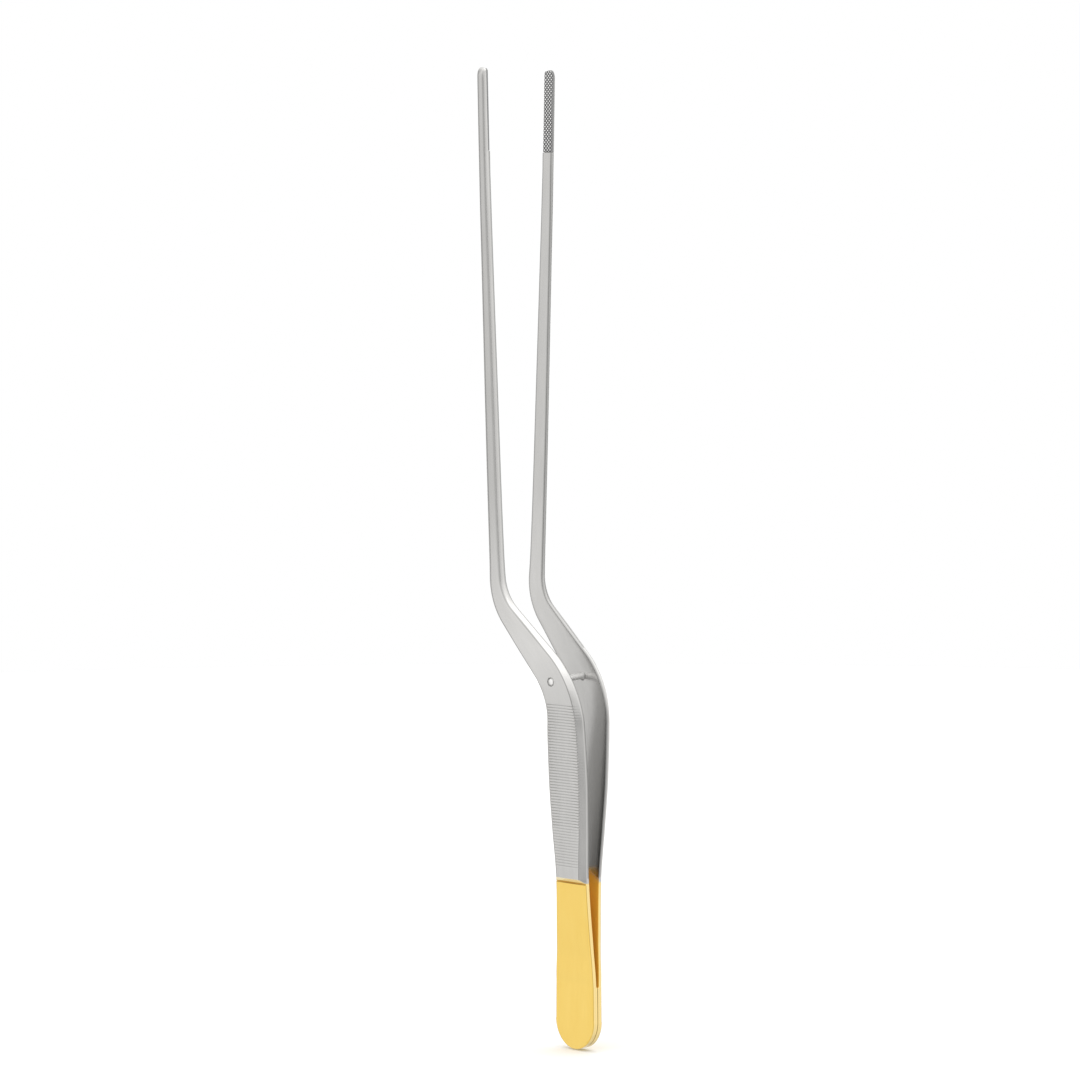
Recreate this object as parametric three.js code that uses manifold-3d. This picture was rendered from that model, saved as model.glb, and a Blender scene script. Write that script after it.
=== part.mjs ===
// Bayonet tweezers: two long sprung arms joined at a gold-plated handle end.
//
// Millimetres, +Z up. The origin is the middle of the handle end's lower edge, on the plane where
// the two arms meet. The arms lie either side of that plane: left at -Y, right at +Y. The grips
// are centred on X = 0, and the slender shanks are set off towards -X. The jaws are at the top.

import * as THREE from 'three';
import { mergeVertices } from 'three/addons/utils/BufferGeometryUtils.js';
import Module from 'manifold-3d';

const wasm = await Module();
wasm.setup();

// ---- Driving dimensions -------------------------------------------------------------------

const LENGTH = 250; // overall
const HEEL_TOP = 17.1; // the arms are welded to each other below this height
const HEEL_ROUND = 7.5; // height of the half-elliptic end
const HEEL_WIDTH = 13.6;
const HEEL_THICKNESS = 1.6; // of each arm

const STEP_BOTTOM = 43; // the thin plated leaf ends in a bevelled step up to the steel grip
const STEP_TOP = 44.2;
const LEAF_PIVOT = 29.6; // middle of the bending leaf
const LEAF_CUT = 0.3; // clearance between the two halves of the leaf, which stands in for bending

const GROOVE_PITCH = 0.737;
const GROOVE_BOTTOM = 46.9;
const FINE_GROOVES = 14; // shallow ones, next to the handle
const DEEP_GROOVES = 43;
const FINE_DEPTH = 0.1;
const DEEP_DEPTH = 0.2;

const BAYONET_OFFSET = 22; // the shanks' distance from the grips' axis
const BAYONET_ANGLE = THREE.MathUtils.degToRad(45);
const LOWER_BEND_START = 84;
const LOWER_BEND_RADIUS = 20;
const UPPER_BEND_RADIUS = 14;

const EDGE_BREAK = 0.15; // small chamfer along every long edge

const PIN_HEIGHT = 94.6; // where the guide pin leaves the left arm
const PIN_RADIUS = 0.83;
const PIN_ENTRY = 1; // how far the pin's end stands inside the right arm at rest
const PIN_NOSE = 0.35; // chamfer on both ends
const PIN_FIT_GAP = 0.3; // around the pin in the left arm, filled by its peened head
const GUIDE_HOLE_RADIUS = 1.25;
const GUIDE_HOLE_DROP = 0.36; // the hole sits this much below the resting pin, for the squeeze
const ROUND_SIDES = 24;

const INSERT_BOTTOM = 229;
const INSERT_TOP = 249.8;
const INSERT_THICKNESS = 0.7;
const INSERT_PROUD = 0.08; // how far it stands out of the arm's inner face
const INSERT_SEAT_GAP = 0.05;
const INSERT_MARGIN = 0.06; // between the insert's sides and the arm's
const TIP_BEVEL = 2; // height of the bevel on the outer face of each tip

const SECTION_SPACING = 5;
const BEND_STEP = THREE.MathUtils.degToRad(5);
const ROUND_STEP = THREE.MathUtils.degToRad(10);

// Each pair is a height and the arm's size there; the curve through them is smooth and has no
// overshoot. Across the bayonet bend, widths are measured square to the bent centre line.
const INNER_WIDTH = smoothCurve([
  [HEEL_ROUND, HEEL_WIDTH], [HEEL_TOP, 13.4], [28, 12.1], [STEP_TOP, 10.9], [56, 12], [70, 13],
  [84, 12.4], [94, 10.2], [104, 7.5], [114, 5.5], [125, 4.75], [165, 4.2], [191, 3.75],
  [216, 3.4], [INSERT_BOTTOM, 3.1], [LENGTH, 3],
]);
const OUTER_WIDTH = smoothCurve([
  [STEP_TOP, 8], [48, 8.3], [56, 9.5], [70, 10.6], [79, 10.5], [89, 9.2], [94, 8.4],
  [104, 6.6], [114, 4.7], [125, 3.8], [165, 3.2], [191, 2.9], [216, 2.6], [LENGTH, 2.5],
]);
const STEEL_THICKNESS = smoothCurve([
  [STEP_TOP, 2.4], [90, 2.4], [125, 1.95], [191, 1.8], [INSERT_BOTTOM, 1.8],
  [LENGTH - TIP_BEVEL, 1.75], [LENGTH, 1.1],
]);
const LEAF_THICKNESS = smoothCurve([
  [0, HEEL_THICKNESS], [HEEL_TOP, HEEL_THICKNESS], [25, 1.25], [STEP_BOTTOM, 1.2],
]);
const HALF_GAP = smoothCurve([
  [HEEL_TOP, 0], [28, 0.86], [STEP_TOP, 1.75], [64, 2.8], [84, 3.9], [94, 4.6], [98, 4.84],
  [106, 5.42], [115, 6.13], [125, 6.85], [200, 10], [216, 10.6], [LENGTH, 11.55],
]);

// ---- Curves -------------------------------------------------------------------------------

/** A monotone cubic curve through [height, value] pairs, flat beyond both ends. */
function smoothCurve(pairs) {
  const slopes = pairs.slice(1).map(([z, v], i) => (v - pairs[i][1]) / (z - pairs[i][0]));
  const tangents = pairs.map((_, i) => {
    const before = slopes[Math.max(i - 1, 0)];
    const after = slopes[Math.min(i, slopes.length - 1)];
    return before * after > 0 ? (2 * before * after) / (before + after) : 0;
  });
  return (z) => {
    if (z <= pairs[0][0]) return pairs[0][1];
    if (z >= pairs.at(-1)[0]) return pairs.at(-1)[1];
    const i = pairs.findIndex(([top]) => z < top) - 1;
    const span = pairs[i + 1][0] - pairs[i][0];
    const u = (z - pairs[i][0]) / span;
    const rise = pairs[i + 1][1] - pairs[i][1];
    return pairs[i][1] + rise * (3 - 2 * u) * u * u
      + span * u * (1 - u) * (tangents[i] * (1 - u) - tangents[i + 1] * u);
  };
}

// The bayonet bend: a lower arc, a straight slope and an upper arc, as heights.
const LOWER_ARC_TOP = LOWER_BEND_START + LOWER_BEND_RADIUS * Math.sin(BAYONET_ANGLE);
const LOWER_ARC_OFFSET = LOWER_BEND_RADIUS * (1 - Math.cos(BAYONET_ANGLE));
const UPPER_ARC_OFFSET = UPPER_BEND_RADIUS * (1 - Math.cos(BAYONET_ANGLE));
const SLOPE_OFFSET = BAYONET_OFFSET - LOWER_ARC_OFFSET - UPPER_ARC_OFFSET;
const UPPER_ARC_BOTTOM = LOWER_ARC_TOP + SLOPE_OFFSET / Math.tan(BAYONET_ANGLE);
const UPPER_BEND_END = UPPER_ARC_BOTTOM + UPPER_BEND_RADIUS * Math.sin(BAYONET_ANGLE);

/** The centre line at a height: its x, and its lean from the vertical towards -X. */
function centreLine(z) {
  if (z <= LOWER_BEND_START) return { x: 0, lean: 0 };
  if (z < LOWER_ARC_TOP) {
    const lean = Math.asin((z - LOWER_BEND_START) / LOWER_BEND_RADIUS);
    return { x: -LOWER_BEND_RADIUS * (1 - Math.cos(lean)), lean };
  }
  if (z < UPPER_ARC_BOTTOM) {
    const run = (z - LOWER_ARC_TOP) * Math.tan(BAYONET_ANGLE);
    return { x: -LOWER_ARC_OFFSET - run, lean: BAYONET_ANGLE };
  }
  if (z < UPPER_BEND_END) {
    const lean = Math.asin((UPPER_BEND_END - z) / UPPER_BEND_RADIUS);
    return { x: -BAYONET_OFFSET + UPPER_BEND_RADIUS * (1 - Math.cos(lean)), lean };
  }
  return { x: -BAYONET_OFFSET, lean: 0 };
}

/** The arm's sizes at a height on its centre line. */
function armSizes(z) {
  const leaf = LEAF_THICKNESS(z);
  if (z < HEEL_ROUND) {
    const up = 1 - z / HEEL_ROUND;
    const width = HEEL_WIDTH * Math.sqrt(1 - up * up);
    return { inner: width, outer: width, thickness: leaf };
  }
  const inner = INNER_WIDTH(z);
  if (z <= STEP_BOTTOM) return { inner, outer: inner - EDGE_BREAK, thickness: leaf };
  if (z >= STEP_TOP) return { inner, outer: OUTER_WIDTH(z), thickness: STEEL_THICKNESS(z) };
  const up = (z - STEP_BOTTOM) / (STEP_TOP - STEP_BOTTOM);
  return {
    inner,
    outer: THREE.MathUtils.lerp(inner - EDGE_BREAK, OUTER_WIDTH(STEP_TOP), up),
    thickness: THREE.MathUtils.lerp(leaf, STEEL_THICKNESS(STEP_TOP), up),
  };
}

// ---- Lofting ------------------------------------------------------------------------------

/**
 * One eight-cornered section of the right arm, at a height. The inner face starts `hollow` deeper
 * than the arm's own inner face, the outer face is `cut` below its own, and each side is `margin`
 * narrower. `depth`, if given, ends the section at that depth instead of at the outer face.
 */
function section(z, { hollow = 0, cut = 0, margin = 0, depth } = {}) {
  const { inner, outer, thickness } = armSizes(z);
  const far = depth ?? thickness - cut;
  const edge = Math.min(EDGE_BREAK, (far - hollow) / 4, inner / 8);
  const halfWidthAt = (d) => THREE.MathUtils.lerp(inner, outer, d / thickness) / 2 - margin;
  const { x, lean } = centreLine(z);
  const gap = HALF_GAP(z);
  const half = [
    [halfWidthAt(hollow) - edge, hollow],
    [halfWidthAt(hollow + edge), hollow + edge],
    [halfWidthAt(far - edge), far - edge],
    [halfWidthAt(far) - edge, far],
  ];
  const outline = [...half, ...half.map(([w, d]) => [-w, d]).reverse()];
  return outline.map(([w, d]) => new THREE.Vector3(
    x + w * Math.cos(lean), gap + d, z + w * Math.sin(lean),
  ));
}

/** A closed solid through a stack of sections, each a ring of the same number of corners. */
function loft(rings) {
  const corners = rings[0].length;
  const at = (ring, corner) => ring * corners + (corner % corners);
  const faces = [];
  for (let r = 0; r + 1 < rings.length; r++) {
    for (let c = 0; c < corners; c++) {
      faces.push(at(r, c), at(r, c + 1), at(r + 1, c + 1));
      faces.push(at(r, c), at(r + 1, c + 1), at(r + 1, c));
    }
  }
  const last = rings.length - 1;
  for (let c = 1; c + 1 < corners; c++) {
    faces.push(at(0, 0), at(0, c + 1), at(0, c));
    faces.push(at(last, 0), at(last, c), at(last, c + 1));
  }
  const geometry = new THREE.BufferGeometry().setFromPoints(rings.flat());
  geometry.setIndex(faces);
  return geometry;
}

/** The same shape for the left arm: mirrored in the plane between the arms. */
function mirrored(geometry) {
  const copy = geometry.clone().scale(1, -1, 1);
  const index = copy.getIndex().array;
  for (let i = 0; i < index.length; i += 3) {
    [index[i + 1], index[i + 2]] = [index[i + 2], index[i + 1]];
  }
  return copy;
}

/** Heights from one end to the other, closer together where the arm bends. */
function heights(from, to) {
  const list = [from];
  while (list.at(-1) < to) {
    const z = list.at(-1);
    const bending = z > LOWER_BEND_START - SECTION_SPACING && z < UPPER_BEND_END;
    const step = bending ? UPPER_BEND_RADIUS * BEND_STEP : SECTION_SPACING;
    list.push(z + step > to - step / 2 ? to : z + step);
  }
  return list;
}

// ---- Solids and cuts ----------------------------------------------------------------------

function toSolid(geometry) {
  const bare = geometry.clone();
  bare.deleteAttribute('normal');
  bare.deleteAttribute('uv');
  const merged = mergeVertices(bare);
  return new wasm.Manifold(new wasm.Mesh({
    numProp: 3,
    vertProperties: new Float32Array(merged.getAttribute('position').array),
    triVerts: new Uint32Array(merged.getIndex().array),
  }));
}

function toGeometry(solid) {
  const { vertProperties, triVerts } = solid.getMesh();
  const geometry = new THREE.BufferGeometry();
  geometry.setAttribute('position', new THREE.BufferAttribute(vertProperties, 3));
  geometry.setIndex(new THREE.BufferAttribute(triVerts, 1));
  return geometry;
}

/** A round drill along +Y turned up by `tilt`, through the point (x, y, z). */
function drill(radius, length, { x, y, z }, tilt) {
  const tool = new THREE.CylinderGeometry(radius, radius, length, ROUND_SIDES);
  return tool.rotateX(tilt).translate(x, y, z);
}

// ---- Pieces -------------------------------------------------------------------------------

const steel = { color: 0xc8c7c2, roughness: 0.28, metalness: 1 };
const gold = { color: 0xe3b04b, roughness: 0.22, metalness: 1 };
const carbide = { color: 0x77787a, roughness: 0.55, metalness: 0.8 };

function piece(name, geometry, finish) {
  const flat = geometry.toNonIndexed();
  flat.computeVertexNormals();
  const mesh = new THREE.Mesh(flat, new THREE.MeshStandardMaterial(finish));
  mesh.name = name;
  return mesh;
}

/** The welded, rounded end of the right arm, up to the middle of the leaf. */
function handleEnd() {
  const rings = [];
  for (let turn = ROUND_STEP; turn < Math.PI / 2; turn += ROUND_STEP) {
    rings.push(section(HEEL_ROUND * (1 - Math.cos(turn))));
  }
  const drop = HEEL_ROUND * (1 - Math.cos(ROUND_STEP)); // brings the blunt end down to the origin
  rings[0].forEach((corner) => { corner.z -= drop; });
  rings.push(...heights(HEEL_ROUND, HEEL_TOP).map((z) => section(z)));
  rings.push(...heights(HEEL_TOP, LEAF_PIVOT - LEAF_CUT / 2).slice(1).map((z) => section(z)));
  return loft(rings);
}

/** The plated, thin leaf from its middle up to the step, where the steel grip starts. */
function springLeaf() {
  const rings = heights(LEAF_PIVOT + LEAF_CUT / 2, STEP_BOTTOM).map((z) => section(z));
  rings.push(section(STEP_TOP));
  return loft(rings);
}

/** The steel arm, with its grooved grip, bayonet bend, shank and seat for the jaw insert. */
function steelArm() {
  const rings = [section(STEP_TOP), section(GROOVE_BOTTOM)];
  for (let groove = 0; groove < FINE_GROOVES + DEEP_GROOVES; groove++) {
    const cut = groove < FINE_GROOVES ? FINE_DEPTH : DEEP_DEPTH;
    const bottom = GROOVE_BOTTOM + groove * GROOVE_PITCH;
    rings.push(section(bottom + GROOVE_PITCH / 2, { cut }));
    rings.push(section(bottom + GROOVE_PITCH));
  }
  const groovesTop = GROOVE_BOTTOM + (FINE_GROOVES + DEEP_GROOVES) * GROOVE_PITCH;
  const seatEdge = INSERT_BOTTOM - INSERT_SEAT_GAP;
  const hollow = INSERT_THICKNESS - INSERT_PROUD;
  rings.push(...heights(groovesTop, seatEdge - INSERT_SEAT_GAP).slice(1).map((z) => section(z)));
  for (const z of [...heights(seatEdge, LENGTH - TIP_BEVEL), LENGTH]) {
    rings.push(section(z, { hollow: Math.min(hollow, STEEL_THICKNESS(z) - EDGE_BREAK) }));
  }
  return loft(rings);
}

/** The hard jaw insert of the right arm, in its seat. */
function jawInsert() {
  const depth = INSERT_THICKNESS - INSERT_PROUD - INSERT_SEAT_GAP;
  const options = { hollow: -INSERT_PROUD, margin: INSERT_MARGIN, depth };
  return loft(heights(INSERT_BOTTOM, INSERT_TOP).map((z) => section(z, options)));
}

/** The guide pin, along +Y from the left arm's outer face. */
function guidePin(length) {
  const profile = [
    [0, 0], [PIN_RADIUS - PIN_NOSE / 2, 0], [PIN_RADIUS, PIN_NOSE / 2],
    [PIN_RADIUS, length - PIN_NOSE], [PIN_RADIUS - PIN_NOSE, length], [0, length],
  ].map(([radius, along]) => new THREE.Vector2(radius, along));
  return new THREE.LatheGeometry(profile, ROUND_SIDES);
}

// The pin stands square to the left arm, so it rises a little on its way to the right arm.
const pinLean = Math.atan((HALF_GAP(PIN_HEIGHT + 5) - HALF_GAP(PIN_HEIGHT - 5)) / 10);
const pinX = centreLine(PIN_HEIGHT).x;
const armAtPin = HALF_GAP(PIN_HEIGHT);
const armThicknessAtPin = armSizes(PIN_HEIGHT).thickness;
const pinRoot = new THREE.Vector3(pinX, -armAtPin, PIN_HEIGHT);
const pinStart = new THREE.Vector3(
  pinX,
  pinRoot.y - armThicknessAtPin * Math.cos(pinLean),
  PIN_HEIGHT - armThicknessAtPin * Math.sin(pinLean),
);
const pinLength = (2 * armAtPin + armThicknessAtPin + PIN_ENTRY) / Math.cos(pinLean);
const holeCentre = new THREE.Vector3(
  pinX, armAtPin, PIN_HEIGHT + 2 * armAtPin * Math.tan(pinLean) - GUIDE_HOLE_DROP,
);
const DRILL_LENGTH = 4 * armThicknessAtPin;

const tweezers = new THREE.Group();
tweezers.add(
  piece('right_handle_end', handleEnd(), gold),
  piece('left_handle_end', mirrored(handleEnd()), gold),
  piece('right_spring_leaf', springLeaf(), gold),
  piece('left_spring_leaf', mirrored(springLeaf()), gold),
);

const rightDrill = drill(GUIDE_HOLE_RADIUS, DRILL_LENGTH, holeCentre, -pinLean);
const leftDrill = drill(PIN_RADIUS + PIN_FIT_GAP, DRILL_LENGTH, pinRoot, pinLean);
const rightArm = toSolid(steelArm()).subtract(toSolid(rightDrill));
const leftArm = toSolid(mirrored(steelArm())).subtract(toSolid(leftDrill));
tweezers.add(
  piece('right_arm', toGeometry(rightArm), steel),
  piece('left_arm', toGeometry(leftArm), steel),
  piece('right_jaw_insert', jawInsert(), carbide),
  piece('left_jaw_insert', mirrored(jawInsert()), carbide),
);

const pin = piece('guide_pin', guidePin(pinLength), steel);
pin.position.copy(pinStart);
pin.rotation.x = pinLean;
tweezers.add(pin);

export default tweezers;
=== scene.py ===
"""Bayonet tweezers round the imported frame: two steel arms with a gold-plated handle end."""

import math

import bmesh
import bpy
import numpy as np
from mathutils import Matrix, Quaternion, Vector


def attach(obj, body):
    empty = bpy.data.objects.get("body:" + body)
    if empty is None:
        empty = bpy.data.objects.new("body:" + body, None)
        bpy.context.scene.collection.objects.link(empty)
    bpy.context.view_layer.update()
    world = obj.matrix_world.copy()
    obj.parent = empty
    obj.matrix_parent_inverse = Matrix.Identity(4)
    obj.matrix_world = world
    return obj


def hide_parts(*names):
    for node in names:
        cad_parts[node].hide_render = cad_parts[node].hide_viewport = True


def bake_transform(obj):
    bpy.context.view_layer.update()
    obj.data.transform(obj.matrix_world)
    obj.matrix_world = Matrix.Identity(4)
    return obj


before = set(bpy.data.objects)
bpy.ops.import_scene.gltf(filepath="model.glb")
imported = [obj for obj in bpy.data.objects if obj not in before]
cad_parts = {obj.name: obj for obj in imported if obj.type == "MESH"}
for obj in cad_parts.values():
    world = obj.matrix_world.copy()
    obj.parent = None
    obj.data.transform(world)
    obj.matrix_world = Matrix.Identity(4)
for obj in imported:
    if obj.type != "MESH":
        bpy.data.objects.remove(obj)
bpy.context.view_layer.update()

# ---- Sizes, in millimetres, as the frame has them --------------------------------------------

MM = 0.001

LENGTH = 250.0
HAIR = 0.02  # how much narrower than the CAD the arms are, to stay inside its box

# The handle end, the leaf that bends from HEEL_TOP to LEAF_TOP, and the step above it.
HEEL_TOP = 17.1
HEEL_ROUND = 7.5
HEEL_WIDTH = 13.6
HEEL_THICKNESS = 1.6
SLOT_BOTTOM, SLOT_RECESS = 16.3, 0.4  # the leaves' inner faces are relieved just above the weld
STEP_BOTTOM, STEP_TOP = 43.0, 44.2
MARK_DEPTH, MARK_REACH = 0.14, 0.2  # the tool mark along the foot of the step
LEAF_EDGE = 0.2  # how much narrower the leaf's outer face is than its inner one

GROOVE_PITCH = 0.737
GROOVE_BOTTOM = 46.9
FINE_GROOVES, DEEP_GROOVES = 14, 43
FINE_DEPTH, DEEP_DEPTH = 0.07, 0.13
GROOVES = FINE_GROOVES + DEEP_GROOVES
GROOVES_TOP = GROOVE_BOTTOM + GROOVES * GROOVE_PITCH

BAYONET_OFFSET = 22.0
BAYONET_ANGLE = math.radians(45)
TILT_ZONE = 9.0  # height over which the sections turn square to the arm
LOWER_BEND_START = 84.0
LOWER_BEND_RADIUS = 20.0
UPPER_BEND_RADIUS = 14.0

PIN_HEIGHT = 94.6
PIN_RADIUS = 0.83
PIN_ENTRY = 1.0  # how far the pin reaches into the right arm, past its inner face
RIVET_RADIUS = 1.17
RIVET_FIT = 0.02  # gap between the rivet and its hole
GUIDE_HOLE_RADIUS = 1.04
GUIDE_HOLE_DROP = 0.21  # the hole sits lower than the pin, whose end sinks as the arms close

INSERT_BOTTOM, INSERT_TOP = 229.0, 249.8
INSERT_THICKNESS = 0.7
INSERT_PROUD = 0.08
INSERT_MARGIN = 0.06
INSERT_FIT = 0.02  # gap behind the insert, in its seat
SEAT_JOINT = 0.1  # how far the seat starts below the insert, which leaves a dark joint
TOOTH_PITCH = 1.0
TOOTH_DEPTH = 0.32
TIP_BEVEL = 2.0


def smooth_curve(pairs):
    """A monotone cubic curve through (height, value) pairs, flat beyond both ends."""
    slopes = [(b[1] - a[1]) / (b[0] - a[0]) for a, b in zip(pairs, pairs[1:])]
    tangents = []
    for i in range(len(pairs)):
        before, after = slopes[max(i - 1, 0)], slopes[min(i, len(slopes) - 1)]
        turning = before * after <= 0
        tangents.append(0 if turning else 2 * before * after / (before + after))

    def value(z):
        if z <= pairs[0][0]:
            return pairs[0][1]
        if z >= pairs[-1][0]:
            return pairs[-1][1]
        i = max(k for k, pair in enumerate(pairs) if pair[0] <= z)
        (low, start), (high, end) = pairs[i], pairs[i + 1]
        span, u = high - low, (z - low) / (high - low)
        bulge = tangents[i] * (1 - u) - tangents[i + 1] * u
        return start + (end - start) * (3 - 2 * u) * u * u + span * u * (1 - u) * bulge

    return value


inner_width = smooth_curve([
    (HEEL_ROUND, HEEL_WIDTH), (HEEL_TOP, 13.4), (28, 12.1), (STEP_TOP, 10.9), (56, 12), (70, 13),
    (84, 12.4), (94, 10.2), (104, 7.5), (114, 5.5), (125, 4.67), (165, 4.2), (191, 3.75),
    (216, 3.4), (INSERT_BOTTOM, 3.1), (LENGTH, 3),
])
outer_width = smooth_curve([
    (STEP_TOP, 8), (48, 8.3), (56, 9.5), (70, 10.6), (79, 10.5), (89, 9.2), (94, 8.4),
    (104, 6.6), (114, 4.6), (125, 3.7), (165, 3.1), (191, 2.8), (216, 2.45), (LENGTH, 2.3),
])
steel_thickness = smooth_curve([
    (STEP_TOP, 2.4), (90, 2.4), (125, 1.95), (191, 1.8), (INSERT_BOTTOM, 1.8),
    (LENGTH - TIP_BEVEL, 1.75), (LENGTH, 1.1),
])
leaf_thickness = smooth_curve([
    (0, HEEL_THICKNESS), (HEEL_TOP, HEEL_THICKNESS), (25, 1.25), (STEP_BOTTOM, 1.2),
])
half_gap = smooth_curve([
    (HEEL_TOP, 0), (28, 0.86), (STEP_TOP, 1.75), (64, 2.8), (84, 3.9), (94, 4.6), (98, 4.84),
    (106, 5.42), (115, 6.13), (125, 6.85), (200, 10), (216, 10.6), (LENGTH, 11.55),
])
# Radius of the rounding where the outer face meets the sides, and where the inner face does.
outer_rounding = smooth_curve([
    (0, 0.22), (STEP_BOTTOM, 0.22), (90, 0.25), (104, 0.45), (125, 1.2), (LENGTH, 1.2),
])
inner_rounding = smooth_curve([
    (HEEL_ROUND, 0.08), (HEEL_TOP, 0.12), (60, 0.2), (90, 0.38), (108, 0.38), (125, 0.26),
    (INSERT_BOTTOM - 6, 0.26), (INSERT_BOTTOM - 1, 0.08), (LENGTH, 0.08),
])

slot_depth = smooth_curve([(HEEL_TOP, SLOT_RECESS), (28, 0)])
# Depth of the upright part of each long side, next to the inner face.
land_depth = smooth_curve([(95, 0.95), (125, 0.45)])

LOWER_ARC_TOP = LOWER_BEND_START + LOWER_BEND_RADIUS * math.sin(BAYONET_ANGLE)
LOWER_ARC_OFFSET = LOWER_BEND_RADIUS * (1 - math.cos(BAYONET_ANGLE))
UPPER_ARC_OFFSET = UPPER_BEND_RADIUS * (1 - math.cos(BAYONET_ANGLE))
SLOPE_OFFSET = BAYONET_OFFSET - LOWER_ARC_OFFSET - UPPER_ARC_OFFSET
UPPER_ARC_BOTTOM = LOWER_ARC_TOP + SLOPE_OFFSET / math.tan(BAYONET_ANGLE)
UPPER_BEND_END = UPPER_ARC_BOTTOM + UPPER_BEND_RADIUS * math.sin(BAYONET_ANGLE)


def centre_line(z):
    """The arm's centre line at a height: its x, and its lean from the vertical towards -X."""
    if z <= LOWER_BEND_START:
        return 0.0, 0.0
    if z < LOWER_ARC_TOP:
        lean = math.asin((z - LOWER_BEND_START) / LOWER_BEND_RADIUS)
        return -LOWER_BEND_RADIUS * (1 - math.cos(lean)), lean
    if z < UPPER_ARC_BOTTOM:
        return -LOWER_ARC_OFFSET - (z - LOWER_ARC_TOP) * math.tan(BAYONET_ANGLE), BAYONET_ANGLE
    if z < UPPER_BEND_END:
        lean = math.asin((UPPER_BEND_END - z) / UPPER_BEND_RADIUS)
        return -BAYONET_OFFSET + UPPER_BEND_RADIUS * (1 - math.cos(lean)), lean
    return -BAYONET_OFFSET, 0.0


def mix(a, b, share):
    return a + (b - a) * share


def section_tilt(z):
    """How far a section is tilted: level up to the top of the grooves, square to the arm above."""
    share = min(1.0, max(0.0, (z - GROOVES_TOP) / TILT_ZONE))
    return centre_line(z)[1] * share * share * (3 - 2 * share)


def arm_sizes(z):
    """The arm's inner width, outer width and thickness at a height."""
    leaf = leaf_thickness(z)
    if z < HEEL_ROUND:
        width = HEEL_WIDTH * math.sqrt(1 - (1 - z / HEEL_ROUND) ** 2)
        return width, width, leaf
    inner = inner_width(z)
    if z <= STEP_BOTTOM:
        return inner, inner - LEAF_EDGE, leaf
    if z >= STEP_TOP:
        return inner, outer_width(z), steel_thickness(z)
    up = (z - STEP_BOTTOM) / (STEP_TOP - STEP_BOTTOM)
    return (
        inner,
        mix(inner - LEAF_EDGE, outer_width(STEP_TOP), up),
        mix(leaf, steel_thickness(STEP_TOP), up),
    )


# ---- Mesh building ---------------------------------------------------------------------------

CORNER_STEPS = 6
FACE_STEPS = 8
HEEL_STEPS = 36
HEEL_START = 3  # degrees into the heel's round end where its first section lies
GROOVE_STEPS = 10
SEAT_STEP = 0.02  # half the height over which the insert's seat sets in
CORNER_REACH = 0.9  # share of a side that a corner's rounding may take up

OUTER_CROWN, CROWN_WIDTH = 0.05, 8  # the outer face's crown, full from this width up
GROOVE_LAND = 0.2  # share of the pitch that is left between two grooves
LAND_SHARE = 0.6  # most of the thickness that a side's upright part takes up
LEAST_STEEL, LEAST_LAND = 0.1, 0.05  # behind the insert, and beside it

# The largest roundings, as divisors: of the thickness and the outer width at the outer face, and
# of the inner width at the inner face.
OUTER_DEPTH_LIMIT, OUTER_WIDTH_LIMIT, INNER_WIDTH_LIMIT = 1.6, 2.3, 6

HEEL_EDGE, TIP_EDGE = 0.16, 0.3  # rounding of the outer face's very ends
TIP_CORNER = 1.05  # rounding of the tip seen from the outer face
TIP_ROUND_HEIGHT, TIP_ROUND_DEPTH = 2.5, 0.45  # the outer face curves in below the tip


def rounded(before, corner, after, radius):
    """Points round a corner, on a curve that starts and ends `radius` away from it."""
    ends = []
    for other in (before, after):
        away = np.subtract(other, corner)
        reach = min(radius, np.linalg.norm(away) * CORNER_REACH)
        ends.append(np.add(corner, away / np.linalg.norm(away) * reach))
    steps = [k / CORNER_STEPS for k in range(CORNER_STEPS + 1)]
    return [
        (1 - t) ** 2 * ends[0] + 2 * t * (1 - t) * np.array(corner) + t * t * ends[1]
        for t in steps
    ]


def spaced(a, b, steps):
    """Points between a and b, without either end."""
    return [mix(a, b, k / steps) for k in range(1, steps)]


def groove_cut(z):
    """How deep the grip's grooves are at a height."""
    if not GROOVE_BOTTOM < z < GROOVES_TOP:
        return 0.0
    turn, phase = divmod((z - GROOVE_BOTTOM) / GROOVE_PITCH, 1.0)
    depth = FINE_DEPTH if turn < FINE_GROOVES else DEEP_DEPTH
    across = max(0.0, 1 - abs(2 * phase - 1) / (1 - GROOVE_LAND))
    return depth * 0.5 * (1 - math.cos(math.pi * across))


def pulled_in(end, radius):
    """How far a quarter-round of this radius pulls a surface in, at a distance from its end."""
    return radius - math.sqrt(radius**2 - (radius - end) ** 2) if end < radius else 0.0


def step_mark(z):
    """Depth of the tool mark at the foot of the step."""
    return MARK_DEPTH * max(0.0, 1 - abs(z - STEP_BOTTOM) / MARK_REACH)


def seat_depth(z):
    """Depth of the seat that holds the insert."""
    return INSERT_THICKNESS - INSERT_PROUD if z > INSERT_BOTTOM - SEAT_JOINT else 0.0


def slot_recess(z):
    """How deep the inner face is relieved, so that the slot between the leaves ends bluntly."""
    if z < SLOT_BOTTOM:
        return 0.0
    start = math.sqrt(min(1.0, (z - SLOT_BOTTOM) / SLOT_RECESS))
    return start * slot_depth(z)


def end_rounding(z):
    """How far the ends pull the outer face in, and how far the tip pulls the sides in."""
    if z < LENGTH / 2:
        return pulled_in(z, HEEL_EDGE), 0.0
    end = LENGTH - z
    share = pulled_in(end, TIP_ROUND_HEIGHT) / TIP_ROUND_HEIGHT
    return pulled_in(end, TIP_EDGE) + share * TIP_ROUND_DEPTH, pulled_in(end, TIP_CORNER)


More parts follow.
